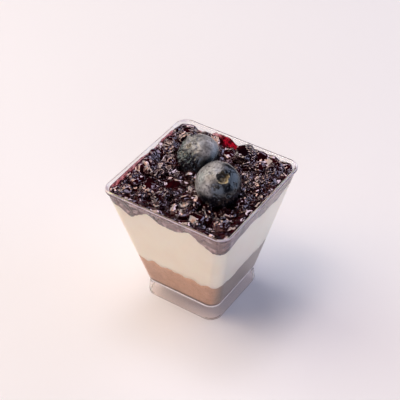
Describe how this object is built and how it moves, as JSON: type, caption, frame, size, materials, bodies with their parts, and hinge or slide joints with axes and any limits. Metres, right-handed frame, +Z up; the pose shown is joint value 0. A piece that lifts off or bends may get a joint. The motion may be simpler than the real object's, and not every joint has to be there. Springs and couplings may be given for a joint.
{
  "type": "blueberry cheesecake cup",
  "caption": "Clear tapered square dessert cup filled with a crumb base, cheesecake cream and blueberry compote, topped with fresh blueberries.",
  "frame": {"origin": "centre of the foot's underside, on the surface that the cup stands on", "axes": "+Z up, -Y the front wall that the fresh blueberries lean towards, +X to the right"},
  "size_m": [0.058, 0.058, 0.0706],
  "materials": {
    "clear_plastic": "clear rigid plastic, glossy, very slightly hazy",
    "biscuit_crumb": "pressed biscuit crumb, fine grained and matte",
    "cheesecake": "smooth set cheesecake cream, soft satin",
    "compote": "dark wet blueberry jelly and wrinkled cooked berries, high gloss",
    "fresh_blueberry": "dark blue skin under a patchy pale bloom"
  },
  "bodies": {
    "root": {"cup": "clear_plastic", "crumb_base": "biscuit_crumb", "cheesecake_cream": "cheesecake", "blueberry_compote": "compote", "blueberry_front": "fresh_blueberry", "blueberry_back": "fresh_blueberry"}
  },
  "joints": []
}
